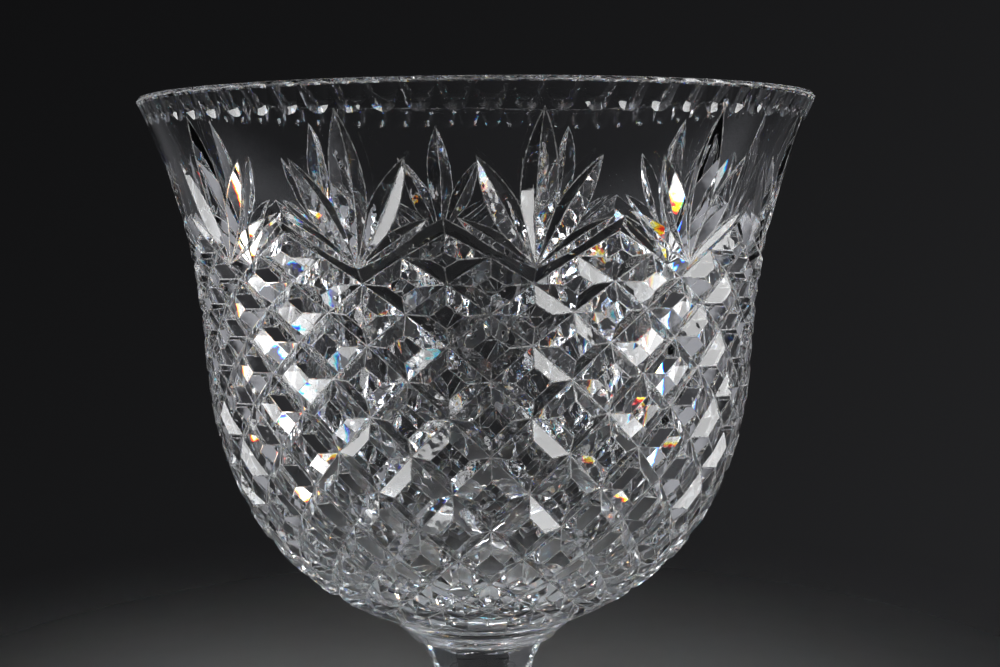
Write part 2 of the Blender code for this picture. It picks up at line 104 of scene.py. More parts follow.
# The leaves of a fan: tip's angle from the fan's axis, tip's height, half width, segments
CENTRE_LEAF = (0.0, TOTAL_HEIGHT - 11.0 * MM, 7.1 * MM, 16)
SIDE_LEAF = (math.radians(9.6), TOTAL_HEIGHT - 28.6 * MM, 5.5 * MM, 13)
LOW_LEAF = (math.radians(12.6), TOTAL_HEIGHT - 51.2 * MM, 3.8 * MM, 10)
RIDGE_SEGMENTS = 7
BORDER_SHARES = (0.25, 0.5, 0.75)     # places of the points along the border's upper edge

# Thumb flutes under the rim
FLUTES_PER_SLICE = 3
FLUTE_HALF_WIDTH = 5.0 * MM
FLUTE_BOTTOM_HEIGHT = TOTAL_HEIGHT - 12.3 * MM
FLUTE_DEPTH = 1.0 * MM
FLUTE_ARC_STEPS = 12
FLUTE_SHARES = (0.0, 0.25, 0.5, 0.75)

# Fineness of the meshes
BOWL_STEPS = 288                      # facets round the rim
INNER_STEPS = 144                     # facets round the inside, the base, the collar and the foot
WALL_STEPS = 80                       # points along each curve of the wall's outline
INNER_RINGS = 36
FLOOR_STEPS = 18                      # points along the turn from wall to floor
BASE_RINGS = 6                        # rings of the plain wall under the pattern
FLARE_STEPS = 24                      # points along the collar's outline
STEM_STEPS = (20, 18)                 # points above and below the stem's waist
DOME_STEPS = 30
FOOT_EDGE_STEPS = 12
GRID_COLUMNS = 12                     # fill points across a slice, on the uncut wall
GRID_SPACING = 3.3 * MM
GRID_MARGIN = 0.8 * MM
BISECTIONS = 30                       # halvings when two cuts' meeting point is searched for
FORK_SEARCH = (0.1, 0.95)             # shares of a cut between which its fork is searched for
SHORTEST_SEGMENT = 0.4                # least length of an edge's first segment, against the others
POLISHED_EDGE = 0.27 * MM             # rounding of every cut edge
EDGE_SEGMENTS = 2
EDGE_ANGLE = math.radians(25)         # flatter edges are not rounded
SHARP = math.radians(11)              # flatter edges are shaded smooth

# Collar: curve handles of its outline
COLLAR_BASE_RADIUS = 36.0 * MM
FLARE_TOP_HANDLE = Vector((-0.8, -3.0)) * MM
FLARE_BASE_HANDLE = Vector((2.3, 3.6)) * MM

# Stem: knots and curve handles of its outline, as distance of the flats from the axis and height
SHOULDER = Vector((28.1 * MM, COLLAR_BASE_HEIGHT - 3.8 * MM))
SHOULDER_BAND = Vector((27.4 * MM, COLLAR_BASE_HEIGHT - 5.4 * MM))
WAIST_OF_STEM = Vector((22.6 * MM, FOOT_TOP_HEIGHT + 18.0 * MM))
STEM_FOOT = Vector((30.5 * MM, FOOT_TOP_HEIGHT))
BAND_HANDLE = Vector((-1.9, -5.6)) * MM
ABOVE_WAIST_HANDLE = Vector((0.0, 6.0)) * MM
BELOW_WAIST_HANDLE = Vector((0.0, -7.0)) * MM
STEM_FOOT_HANDLE = Vector((-5.0, 5.0)) * MM
STEM_SIDES = 8
STEM_TURN = math.radians(5.5)         # the stem's flats against the bowl's pattern
ARRIS = 1.5 * MM                      # width of each flat taken away by an arris bevel

# Foot: knots and curve handles of its outline
FOOT_TOP = Vector((33.5 * MM, FOOT_TOP_HEIGHT))
FOOT_SHOULDER = Vector((FOOT_RADIUS - 2.4 * MM, 7.0 * MM))
FOOT_REST = Vector((FOOT_RADIUS - 2.6 * MM, 0.0))
DOME_TOP_HANDLE = Vector((3.5, -9.5)) * MM
DOME_SHOULDER_HANDLE = Vector((-25.0, 4.0)) * MM
EDGE_SHOULDER_HANDLE = Vector((3.0, -0.6)) * MM
EDGE_REST_HANDLE = Vector((3.6, 0.0)) * MM
FOOT_HOLLOW = ((60.0, 0.0), (58.0, 1.2), (54.0, 2.0), (30.0, 3.0), (3.0, 3.4))    # in mm

# Material slots of every piece; slot 0 is the plain glass
JOINT_SLOT = 1
EDGE_SLOT = 2
CUT_SLOT = 3

# Glass
GLASS_IOR = 1.55
PLAIN_WAVES = (45.0, 0.05 * MM)       # scale and height of the waves in the polish
CUT_WAVES = (110.0, 0.30 * MM)
WAVE_DETAIL = 2.0
TINTS = {
    "bowl": (0.995, 0.997, 1.0),
    "collar": (0.99, 0.995, 1.0),
    "stem": (0.99, 0.995, 1.0),
    "foot": (0.985, 0.99, 0.995),
}
SHADOW_CLEARNESS = 0.9                # share of the light that passes a glass face in a shadow
EDGE_ROUGHNESS = 0.22
# Painted highlight: a share of white matt paint on the rounded edges stands in for the glints of their
# polish
PAINTED_HIGHLIGHT_TONE = 0.8
PAINTED_HIGHLIGHT_SHARE = 0.44                     # most of a rounded edge that gets the painted highlight
PAINTED_HIGHLIGHT_SCALE = 300.0
PAINTED_HIGHLIGHT_LEVELS = (0.3, 0.7)              # noise levels between which the painted highlight sets in

# Floor
FLOOR_RADIUS = 0.60
FLOOR_SIDES = 96
FLOOR_FADE = (0.12, 0.50)             # distances from the axis between which the floor fades out
PAINT_TONES = ((0.70, 0.70, 0.69, 1.0), (0.78, 0.78, 0.77, 1.0))
PAINT_ROUGHNESS = 0.7
PAINT_GRAIN = 60.0
POOL_PLACE = (0.0, -0.19, 1.4)        # of the lamp above the floor
POOL_POWER = 9.0
POOL_ANGLE = math.radians(20)
POOL_LAMP_RADIUS = 0.1

# Softboxes: name, degrees round from the camera, distance, height, width and height, power
SOFTBOXES = (
    ("left_softbox", -78.0, 1.3, 0.20, (0.95, 0.60), 13.430),
    ("right_softbox", 70.0, 1.3, 0.34, (0.62, 1.16), 19.205),
)
EDGE_WIDTH = 0.04                     # soft edge of a softbox, as a share of its width
RAINBOW_SHIFT = 0.026                 # how far the edges of two neighbouring colours lie apart
SEEN_THROUGH = 0.04                   # level of a softbox seen straight through both walls
WALL_FACES = 4                        # faces that such a ray passes

# World
BACKDROP_TONE = 0.0098                # level straight behind the bowl
BACKDROP_SLOPE = (1.4, 0.0, -1.5)     # doublings of the level per unit of direction
WORLD_TINT = (0.97, 0.98, 1.05, 1.0)
ROOM_TONE = 0.018                     # added away from the backdrop
ROOM_START = (0.75, 0.35)             # in terms of the direction's Y
GLOW_TONE = 0.33                      # soft light from both sides, seen only in the glass
GLOW_ASIDE = (0.5, 0.85)              # in terms of the direction's X, either way
GLOW_BOTTOM = (-0.25, -0.05)          # in terms of its Z
GLOW_TOP = (0.50, 0.30)

# The camera: place round and above the object, and how it is turned
CAMERA_AZIMUTH = math.radians(5.55)
CAMERA_DISTANCE = 652.7 * MM
CAMERA_HEIGHT = TOTAL_HEIGHT - 39.1 * MM
CAMERA_YAW = math.radians(-0.85)
CAMERA_PITCH = math.radians(-6.09)
CAMERA_ROLL = math.radians(0.53)
CAMERA_LENS = 50.0
CAMERA_SENSOR = 36.0


def curve(start, start_handle, end_handle, end, steps):
    """A cubic curve through radius and height pairs, ends included."""
    return interpolate_bezier(Vector(start), Vector(start_handle), Vector(end_handle), Vector(end), steps)


def on_circle(radius, angle, height):
    """A point of the model; the angle is measured from -Y towards +X."""
    return Vector((radius * math.sin(angle), -radius * math.cos(angle), height))


class Wall:
    """The bowl's outer outline, measured by the distance down it from the rim."""

    def __init__(self, outline):
        self.radii = [point.x for point in outline]
        self.heights = [point.y for point in outline]
        steps = [(lower - upper).length for upper, lower in zip(outline, outline[1:])]
        self.distances = np.concatenate(([0.0], np.cumsum(steps)))

    def at(self, distance):
        radius = np.interp(distance, self.distances, self.radii)
        height = np.interp(distance, self.distances, self.heights)
        return Vector((float(radius), float(height)))

    def outward(self, distance):
        downward = self.at(distance + 2 * MM) - self.at(distance - 2 * MM)
        return Vector((-downward.y, downward.x)).normalized()

    def distance_at(self, height):
        return float(np.interp(-height, [-value for value in self.heights], self.distances))

    def inside(self, distance):
        """The point of the inner face behind a point of the outer one."""
        share = min(1.0, distance / THICK_FROM)
        thickness = LIP_THICKNESS + (WALL_THICKNESS - LIP_THICKNESS) * share
        return self.at(distance) - self.outward(distance) * thickness


def bowl_wall():
    rim = Vector((RIM_RADIUS, TOTAL_HEIGHT))
    base = Vector((BOWL_BASE_RADIUS, BOWL_BASE_HEIGHT))
    lip = curve(rim, rim + RIM_HANDLE, WAIST + LIP_WAIST_HANDLE, WAIST, WALL_STEPS)
    body = curve(WAIST, WAIST + BODY_WAIST_HANDLE, base + BASE_HANDLE, base, WALL_STEPS)
    return Wall(lip + body[1:])


class Cut:
    """A V-shaped wheel cut along a straight line on the unrolled wall.

    Its points are pairs: distance across from the fan's axis, and distance down the wall.
    A leaf narrows to a point at both ends, and any other cut keeps its width.
    """

    def __init__(self, start, end, half_width, leaf):
        self.start = start
        self.length = (end - start).length
        self.direction = (end - start) / self.length
        self.side = Vector((-self.direction.y, self.direction.x))
        self.full_half_width = half_width
        self.leaf = leaf

    def half_width(self, along):
        if not self.leaf:
            return self.full_half_width
        share = min(max(along / self.length, 0.0), 1.0)
        return self.full_half_width * 4 * share * (1 - share)

    def at(self, along, side=0.0):
        """A point of the bottom line, or of an edge when side is -1 or 1."""
        return self.start + self.direction * along + self.side * self.half_width(along) * side

    def along(self, point):
        return (point - self.start).dot(self.direction)

    def depth(self, point):
        across = abs((point - self.start).dot(self.side))
        return (self.half_width(self.along(point)) - across) * BANK_SLOPE


def ridge(first, second, along):
    """The point, this far along two neighbouring cuts, where both are equally deep."""
    inner = first.at(along)
    outer = second.at(along)
    for _ in range(BISECTIONS):
        middle = (inner + outer) / 2
        if first.depth(middle) > second.depth(middle):
            inner = middle
        else:
            outer = middle
    return inner


def fork(first, second):
    """How far along two neighbouring cuts their ridge comes up to the wall's surface."""
    near, far = (share * second.length for share in FORK_SEARCH)
    for _ in range(BISECTIONS):
        middle = (near + far) / 2
        if first.depth(ridge(first, second, middle)) > 0:
            near = middle
        else:
            far = middle
    return near


class Slice:
    """The creases of one slice of the cut wall, from a peak's axis to a fan's axis."""

    def __init__(self, wall):
        self.wall = wall
        self.points = []
        self.known = {}
        self.creases = []

    def point(self, angle, distance, depth=0.0):
        key = (round(angle * 1e5), round(distance / WELD))
        for near in ((0, 0), (0, 1), (0, -1), (1, 0), (-1, 0)):
            index = self.known.get((key[0] + near[0], key[1] + near[1]))
            if index is not None:
                return index
        self.known[key] = len(self.points)
        self.points.append((angle, distance, depth))
        return self.known[key]

    def flat_point(self, flat, depth=0.0):
        """Adds a point given by its distance across from the fan's axis."""
        angle = SLICE - flat.x / self.wall.at(flat.y).x
        return self.point(angle, flat.y, depth)

    def crease(self, *indices):
        self.creases.extend(zip(indices, indices[1:]))

    def triangles(self):
        scale = self.wall.at(THICK_FROM).x
        flat = [Vector((angle * scale, distance)) for angle, distance, _ in self.points]
        result = delaunay_2d_cdt(flat, self.creases, [], 0, WELD)
        corners, faces, sources = result[0], result[2], result[3]
        if any(not source for source in sources):
            raise ValueError("two creases of the cut pattern cross")
        kept = []
        for face in faces:
            a, b, c = (corners[index] for index in face)
            if abs((b - a).cross(c - a)) > WELD * MM:
                kept.append([sources[index][0] for index in face])
        return kept


def crossing_rows(wall):
    """Distances down the wall of the rings of points where the diamond cuts cross."""
    rows = [wall.distance_at(PEAK_HEIGHT)]
    for row in range(CROSSING_ROWS - 1):
        steepness = min(FULL_STEEPNESS, FIRST_STEEPNESS + STEEPNESS_GAIN * row)
        width = wall.at(rows[-1] + CUT_HALF_WIDTH).x * COLUMN
        rows.append(rows[-1] + width * steepness)
    return rows


def cut_diamond(piece, rows, row, column):
    """One diamond: four sloping banks round a flat top, or half of it at a slice's edge."""
    angle = column * COLUMN
    width = COLUMN * piece.wall.at(rows[row]).x
    height = (rows[row + 1] - rows[row - 1]) / 2
    table = max(SMALLEST_TABLE, 1 - CUT_HALF_WIDTH * math.hypot(width, height) / (width * height))
    top = piece.point(angle, rows[row - 1], CUT_DEPTH)
    bottom = piece.point(angle, rows[row + 1], CUT_DEPTH)
    table_top = piece.point(angle, rows[row] + table * (rows[row - 1] - rows[row]))
    table_bottom = piece.point(angle, rows[row] + table * (rows[row + 1] - rows[row]))
    piece.crease(top, table_top, table_bottom, bottom)
    for side in (-1, 1):
        if 0 <= column + side <= 2:
            corner = piece.point(angle + side * COLUMN, rows[row], CUT_DEPTH)
            table_corner = piece.point(angle + side * COLUMN * table, rows[row])
            piece.crease(top, corner, bottom)
            piece.crease(table_top, table_corner, table_bottom)
            piece.crease(corner, table_corner)


def cut_diamonds(piece, rows):
    for row in range(1, CROSSING_ROWS - 1):
        for column in range(min(row, 3)):
            if (row + column) % 2 == 1:
                cut_diamond(piece, rows, row, column)


def bank_rise(piece, rows, upper, lower, columns):
    """How far a border cut's edge lies above or below its bottom, down the wall."""
    run = columns * COLUMN * piece.wall.at(rows[upper]).x
    return CUT_HALF_WIDTH * math.hypot(run, rows[lower] - rows[upper]) / run


def cut_lower_border(piece, rows):
    last = CROSSING_ROWS - 1
    drop = bank_rise(piece, rows, last - 1, last, 1)
    edge = []
    for column in range(3):
        row = last - column % 2
        crossing = piece.point(column * COLUMN, rows[row], CUT_DEPTH)
        edge.append(piece.point(column * COLUMN, rows[row] + drop))
        piece.crease(crossing, edge[-1])
    piece.crease(*edge)


def leaf_cut(piece, base, leaf):
    angle, height, half_width, _ = leaf
    distance = piece.wall.distance_at(height)
    return Cut(base, Vector((angle * piece.wall.at(distance).x, distance)), half_width, True)


def cut_leaf_bottom(piece, cut, base, segments):
    """The bottom line of a leaf, and the index of its tip."""
    line = [base]
    for step in range(1, segments):
        along = cut.length * step / segments
        line.append(piece.flat_point(cut.at(along), cut.depth(cut.at(along))))
    line.append(piece.flat_point(cut.at(cut.length)))
    piece.crease(*line)
    return line[-1]


def cut_edge(piece, cut, start, place, tip, segments):
    """The edge of a leaf from the place where it leaves its neighbour to its tip."""
    side = math.copysign(1.0, (place - cut.start).dot(cut.side))
    edge = [start]
    for step in range(1, segments):
        along = cut.length * step / segments
        if along > cut.along(place) + SHORTEST_SEGMENT * cut.length / segments:
            edge.append(piece.flat_point(cut.at(along, side)))
    piece.crease(*edge, tip)


def cut_ridge(piece, first, second, base):
    """The ridge between two neighbouring cuts, and the fork at its end."""
    end = fork(first, second)
    line = [base]
    for step in range(1, RIDGE_SEGMENTS):
        place = ridge(first, second, end * step / RIDGE_SEGMENTS)
        line.append(piece.flat_point(place, max(0.0, first.depth(place))))
    place = ridge(first, second, end)
    line.append(piece.flat_point(place))
    piece.crease(*line)
    return line[-1], place


def cut_fan(piece, rows):
    """Half of a fan of leaves, and the zigzag border below it; gives the cuts, the border last."""
    wall = piece.wall
    rise = bank_rise(piece, rows, 0, 2, 2)
    peak = piece.point(0.0, rows[0], CUT_DEPTH)
    valley = piece.point(SLICE, rows[2], CUT_DEPTH)
    peak_edge = piece.point(0.0, rows[0] - rise)
    base = piece.point(SLICE, rows[2] - rise)
    piece.crease(peak, peak_edge)
    piece.crease(valley, base)

    base_flat = Vector((0.0, rows[2] - rise))
    centre = leaf_cut(piece, base_flat, CENTRE_LEAF)
    side = leaf_cut(piece, base_flat, SIDE_LEAF)
    low = leaf_cut(piece, base_flat, LOW_LEAF)
    border_end = Vector((SLICE * wall.at(rows[0]).x, rows[0]))
    border = Cut(Vector((0.0, rows[2])), border_end, CUT_HALF_WIDTH, False)

    leaves = []
    for cut, leaf in ((centre, CENTRE_LEAF), (side, SIDE_LEAF), (low, LOW_LEAF)):
        segments = leaf[3]
        leaves.append((cut, segments, cut_leaf_bottom(piece, cut, base, segments)))
    for pair in zip(leaves, leaves[1:]):
        end, place = cut_ridge(piece, pair[0][0], pair[1][0], base)
        for cut, segments, tip in pair:
            cut_edge(piece, cut, end, place, tip, segments)
    end, place = cut_ridge(piece, low, border, base)
    cut, segments, tip = leaves[-1]
    cut_edge(piece, cut, end, place, tip, segments)

    border_edge = [end]
    far = Vector((SLICE * wall.at(rows[0] - rise).x, rows[0] - rise))
    for share in BORDER_SHARES:
        border_edge.append(piece.flat_point(place.lerp(far, share)))
    piece.crease(*border_edge, peak_edge)
    return (centre, side, low, border)


def cut_flutes(piece):
    """Rounded scoops that run up to the bevel of the rim and end below in a half circle."""
    wall = piece.wall
    pitch = SLICE / FLUTES_PER_SLICE
    centre_distance = wall.distance_at(FLUTE_BOTTOM_HEIGHT) - FLUTE_HALF_WIDTH
    radius = wall.at(centre_distance).x
    top_row = [piece.point(0.0, RIM_BEVEL)]
    for flute in range(FLUTES_PER_SLICE):
        angle = (flute + 0.5) * pitch
        outline = [top_row[-1]]
        for step in range(FLUTE_ARC_STEPS + 1):
            turn = math.pi * step / FLUTE_ARC_STEPS
            across = -math.cos(turn) * FLUTE_HALF_WIDTH / radius
            down = math.sin(turn) * FLUTE_HALF_WIDTH
            outline.append(piece.point(angle + across, centre_distance + down))
        corner = piece.point(angle + pitch / 2, RIM_BEVEL)
        piece.crease(*outline, corner)
        for share in FLUTE_SHARES:
            depth = FLUTE_DEPTH * (1 - share * share)
            for step in range(FLUTE_ARC_STEPS + 1):
                turn = math.pi * step / FLUTE_ARC_STEPS
                across = -math.cos(turn) * FLUTE_HALF_WIDTH * share / radius
                down = math.sin(turn) * FLUTE_HALF_WIDTH * share
                piece.point(angle + across, centre_distance + down, depth)
        crown = []
        for share in [-share for share in reversed(FLUTE_SHARES[1:])] + list(FLUTE_SHARES):
            depth = FLUTE_DEPTH * (1 - share * share)
            crown.append(piece.point(angle + share * pitch / 2, RIM_BEVEL, depth))
        top_row.extend(crown + [corner])
    piece.crease(*top_row)


def fill_plain_wall(piece, rows, cuts):
    """Points on the uncut wall between the flutes and the border, so that it stays round."""
    wall = piece.wall
    distance = wall.distance_at(FLUTE_BOTTOM_HEIGHT) + GRID_MARGIN
    while distance < rows[2]:
        for column in range(GRID_COLUMNS + 1):
            angle = SLICE * column / GRID_COLUMNS
            flat = Vector(((SLICE - angle) * wall.at(distance).x, distance))
            depths = [cut.depth(flat) for cut in cuts]
            border = cuts[-1]
            above_border = flat.y < border.at(border.along(flat)).y
            if above_border and max(depths) < -GRID_MARGIN * BANK_SLOPE:
                piece.point(angle, distance)
        distance += GRID_SPACING


def cut_slice(wall):
    piece = Slice(wall)
    rows = crossing_rows(wall)
    cut_diamonds(piece, rows)
    cut_lower_border(piece, rows)
    cuts = cut_fan(piece, rows)
    cut_flutes(piece)
    fill_plain_wall(piece, rows, cuts)
    end = wall.distance_at(PATTERN_END_HEIGHT)
    columns = INNER_STEPS // (2 * FANS)
    piece.crease(*(piece.point(SLICE * step / columns, end) for step in range(columns + 1)))
    return piece


def add_triangle(mesh, corners, slot=0):
    face = mesh.faces.new([mesh.verts.new(corner) for corner in corners])
    face.material_index = slot


def add_cut_wall(mesh, piece):
    """Lays the slice round the bowl, every second one mirrored. Cut faces get their own slot."""
    triangles = piece.triangles()
    slots = []
    for triangle in triangles:
        is_cut = any(piece.points[index][2] for index in triangle)
        slots.append(CUT_SLOT if is_cut else 0)
    for number in range(2 * FANS):
        corners = []
        for angle, distance, depth in piece.points:
            turned = (number + 1) * SLICE - angle if number % 2 else number * SLICE + angle
            place = piece.wall.at(distance) - piece.wall.outward(distance) * depth
            corners.append(mesh.verts.new(on_circle(place.x, turned, place.y)))
        for triangle, slot in zip(triangles, slots):
            mesh.faces.new([corners[index] for index in triangle]).material_index = slot


def ring(place, count):
    return [on_circle(place.x, 2 * math.pi * step / count, place.y) for step in range(count)]


def add_band(mesh, first, second):
    """Triangles between two rings, paired off from the first corner of each."""
    i = 0
    j = 0
    while i < len(first) or j < len(second):
        near = first[i % len(first)]
        far = second[j % len(second)]
        if j == len(second) or (i < len(first) and (i + 1) * len(second) <= (j + 1) * len(first)):
            i += 1
            add_triangle(mesh, (near, first[i % len(first)], far))
        else:
            j += 1
            add_triangle(mesh, (near, second[j % len(second)], far))


def add_disc(mesh, rim, slot):
    centre = Vector((0.0, 0.0, rim[0].z))
    for step, corner in enumerate(rim):
        add_triangle(mesh, (corner, rim[(step + 1) % len(rim)], centre), slot)


def add_rings(mesh, rings, slot):
    """Bands from ring to ring, and a disc in the given slot that closes the last one."""
    for upper, lower in zip(rings, rings[1:]):
        add_band(mesh, upper, lower)
    add_disc(mesh, rings[-1], slot)


def rim_ring(wall):
    """The outer ring of the rim, dented where each flute runs out."""
    half = len(FLUTE_SHARES)
    count = 2 * half * 2 * FANS * FLUTES_PER_SLICE
    outward = wall.outward(RIM_BEVEL)
    corners = []
    for step in range(count):
        share = (step % (2 * half) - half) / half
        spot = wall.at(RIM_BEVEL) - outward * FLUTE_DEPTH * (1 - share * share)
        corners.append(on_circle(spot.x, 2 * math.pi * step / count, spot.y))
    return corners


def inner_outline(wall):
    """The inside from just under the lip down to the edge of the floor's centre."""
    start = 0.0
    while wall.inside(start).y > TOTAL_HEIGHT - RIM_EASE:
        start += INSIDE_SEARCH_STEP
    lip = [wall.inside(distance) for distance in np.linspace(start, FLOOR_START, INNER_RINGS)]
    last = lip[-1]
    handle = last + (last - lip[-2]).normalized() * FLOOR_TURN
    middle = Vector((FLOOR_FLAT, FLOOR_HEIGHT))
    floor = curve(last, handle, middle + Vector((FLOOR_TURN, 0.0)), middle, FLOOR_STEPS)
    return lip + floor[1:]


def ripple_ring(place, count, drop):
    """A ring of the inner face with the slight waves of blown glass, none at the lip."""
    strength = RIPPLE * min(1.0, drop / RIPPLE_BELOW_LIP) * min(1.0, place.x / RIPPLE_OUTWARD)
    corners = []
    for step in range(count):
        angle = 2 * math.pi * step / count
        wave = 0.0
        for size, waves, twist in RIPPLE_WAVES:
            wave += size * math.sin(waves * angle + twist * place.y)
        corners.append(on_circle(place.x + strength * wave, angle, place.y))
    return corners


def build_bowl():
    wall = bowl_wall()
    piece = cut_slice(wall)
    mesh = bmesh.new()
    add_cut_wall(mesh, piece)

    inner = inner_outline(wall)
    outer_top = Vector((RIM_RADIUS - RIM_BEVEL, TOTAL_HEIGHT))
    inner_top = Vector((inner[0].x + RIM_EASE, TOTAL_HEIGHT))
    rings = [rim_ring(wall), ring(outer_top, BOWL_STEPS), ring(inner_top, BOWL_STEPS)]
    rings += [ripple_ring(place, INNER_STEPS, TOTAL_HEIGHT - place.y) for place in inner]
    add_rings(mesh, rings, 0)

    pattern_end = wall.distance_at(PATTERN_END_HEIGHT)
    distances = np.linspace(pattern_end, wall.distances[-1], BASE_RINGS)
    add_rings(mesh, [ring(wall.at(distance), INNER_STEPS) for distance in distances], JOINT_SLOT)
    return finish_piece("crystal_bowl", mesh, "bowl", POLISHED_EDGE)


def add_object(name, data):
    made = bpy.data.objects.new(name, data)
    bpy.context.collection.objects.link(made)
    return made


def finish_piece(name, mesh, cad_node, edge):
    """Makes the piece that stands for a CAD node, with its cut edges rounded where edge says."""
    bmesh.ops.remove_doubles(mesh, verts=mesh.verts, dist=WELD)
    bmesh.ops.recalc_face_normals(mesh, faces=mesh.faces)
    data = bpy.data.meshes.new(name)
    mesh.to_mesh(data)
    mesh.free()
    made = add_object(name, data)
    data.shade_smooth()
    data.set_sharp_from_angle(angle=SHARP)
    if edge:
        rounding = made.modifiers.new("polished_edges", "BEVEL")
        rounding.limit_method = "ANGLE"
        rounding.angle_limit = EDGE_ANGLE
        rounding.width = edge
        rounding.segments = EDGE_SEGMENTS
        rounding.use_clamp_overlap = False
        rounding.harden_normals = True
        # The rounded faces take the edge material: rough glass with a painted highlight
        rounding.material = EDGE_SLOT
    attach(made, "root")
    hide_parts(cad_node)
    return made


def build_collar():
    """The round merese that carries the bowl's flare down to the stem's shoulder."""
    top = Vector((BOWL_BASE_RADIUS, BOWL_BASE_HEIGHT))
    bottom = Vector((COLLAR_BASE_RADIUS, COLLAR_BASE_HEIGHT))
    flare = curve(top, top + FLARE_TOP_HANDLE, bottom + FLARE_BASE_HANDLE, bottom, FLARE_STEPS)
    mesh = bmesh.new()
    rings = [ring(place, INNER_STEPS) for place in flare]
    add_disc(mesh, rings[0], JOINT_SLOT)
    add_rings(mesh, rings, JOINT_SLOT)
    return finish_piece("crystal_collar", mesh, "collar", 0.0)


def stem_outline():
    """Distance of the stem's flats from its axis, and height, below the shoulder."""
    band = SHOULDER_BAND
    waist = WAIST_OF_STEM
    upper = curve(band, band + BAND_HANDLE, waist + ABOVE_WAIST_HANDLE, waist, STEM_STEPS[0])
    lower = curve(waist, waist + BELOW_WAIST_HANDLE, STEM_FOOT + STEM_FOOT_HANDLE, STEM_FOOT, STEM_STEPS[1])
    return [SHOULDER] + upper + lower[1:]


def flats_ring(place):
    """A ring of the stem: three points on each flat, with an arris bevel between two flats."""
    apothem, height = place
    half_flat = apothem * math.tan(math.pi / STEM_SIDES) - ARRIS
    corners = []
    for side in range(STEM_SIDES):
        middle = STEM_TURN + 2 * math.pi * side / STEM_SIDES
        for across in (-half_flat, 0.0, half_flat):
            angle = middle + math.atan2(across, apothem)
            corners.append(on_circle(math.hypot(apothem, across), angle, height))
    return corners


def build_stem():
    """A waisted shaft with eight flats and bevelled arrises, flared to a round top."""
    round_top = ring(Vector((COLLAR_BASE_RADIUS, COLLAR_BASE_HEIGHT)), INNER_STEPS)
    rings = [flats_ring(place) for place in stem_outline()]
    mesh = bmesh.new()
    add_rings(mesh, rings, JOINT_SLOT)
    # These two rings start about 14 degrees apart, which skews the band between them
    add_band(mesh, round_top, rings[0])
    add_disc(mesh, round_top, JOINT_SLOT)
    return finish_piece("crystal_stem", mesh, "stem", 0.0)


def build_foot():
    """A domed round foot on a flat ground ring round a shallow hollow."""
    top = FOOT_TOP
    shoulder = FOOT_SHOULDER
    rest = FOOT_REST
    dome = curve(top, top + DOME_TOP_HANDLE, shoulder + DOME_SHOULDER_HANDLE, shoulder, DOME_STEPS)
    edge = curve(shoulder, shoulder + EDGE_SHOULDER_HANDLE, rest + EDGE_REST_HANDLE, rest, FOOT_EDGE_STEPS)
    hollow = [Vector(place) * MM for place in FOOT_HOLLOW]
    stem_foot = flats_ring(stem_outline()[-1])
    rings = [ring(place, INNER_STEPS) for place in dome + edge[1:] + hollow]
    mesh = bmesh.new()
    add_rings(mesh, rings, 0)
    # These two rings start about 15 degrees apart, so this flat band has 16 folded triangles
    add_band(mesh, rings[0], stem_foot)
    add_disc(mesh, stem_foot, JOINT_SLOT)
    return finish_piece("crystal_foot", mesh, "foot", 0.0)


# Nodes

def node(tree, kind, **inputs):
    """A new node with some of its inputs set; an underscore stands for a space in a name."""
    made = tree.nodes.new(kind)
    for name, value in inputs.items():
        made.inputs[name.replace("_", " ")].default_value = value
    return made


def maths(tree, operation, *values):
    """A value worked out from numbers and from other nodes' values."""
    made = tree.nodes.new("ShaderNodeMath")
    made.operation = operation
    for socket, value in zip(made.inputs, values):
        if isinstance(value, bpy.types.NodeSocket):
            tree.links.new(value, socket)
        else:
            socket.default_value = value
    return made.outputs[0]


def between(tree, value, start, end):
    """A smooth step of a value from 0 at the start to 1 at the end."""
    step = node(tree, "ShaderNodeMapRange", From_Min=start, From_Max=end)
    step.interpolation_type = "SMOOTHSTEP"
    tree.links.new(value, step.inputs["Value"])
    return step.outputs["Result"]


def blend(tree, share, first, second):
    """A shader that goes from the first to the second as the share goes from 0 to 1."""
    mixed = tree.nodes.new("ShaderNodeMixShader")
    tree.links.new(share, mixed.inputs["Fac"])
    tree.links.new(first.outputs[0], mixed.inputs[1])
    tree.links.new(second.outputs[0], mixed.inputs[2])
    return mixed


def object_noise(tree, scale):
    """Noise that sticks to the piece."""
    place = tree.nodes.new("ShaderNodeTexCoord")
    noise = node(tree, "ShaderNodeTexNoise", Scale=scale, Detail=WAVE_DETAIL)
    tree.links.new(place.outputs["Object"], noise.inputs["Vector"])
    return noise.outputs["Fac"]


def blank_material(name):
    made = bpy.data.materials.new(name)
    made.use_nodes = True
    made.node_tree.nodes.clear()
    return made


def show(tree, shader):
    """Makes a shader the surface of its material."""
    output = tree.nodes.new("ShaderNodeOutputMaterial")
    tree.links.new(shader.outputs[0], output.inputs["Surface"])


# Materials

def crystal(name, tint, wave_scale, wave_height):
    """Clear lead glass with faint waves in its polish, and light shadows."""
    made = blank_material(name)
    tree = made.node_tree
    bump = node(tree, "ShaderNodeBump", Strength=1.0, Distance=wave_height)
    tree.links.new(object_noise(tree, wave_scale), bump.inputs["Height"])
    glass = node(tree, "ShaderNodeBsdfGlass", IOR=GLASS_IOR, Roughness=0.0, Color=(*tint, 1.0))
    tree.links.new(bump.outputs["Normal"], glass.inputs["Normal"])
    path = tree.nodes.new("ShaderNodeLightPath")
    clear = node(tree, "ShaderNodeBsdfTransparent", Color=(*[SHADOW_CLEARNESS] * 3, 1.0))
    show(tree, blend(tree, path.outputs["Is Shadow Ray"], glass, clear))
    return made


def fused_joint():
    """The faces where two pieces are melted together: light passes straight on."""
    made = blank_material("fused_joint")
    show(made.node_tree, made.node_tree.nodes.new("ShaderNodeBsdfTransparent"))
    return made


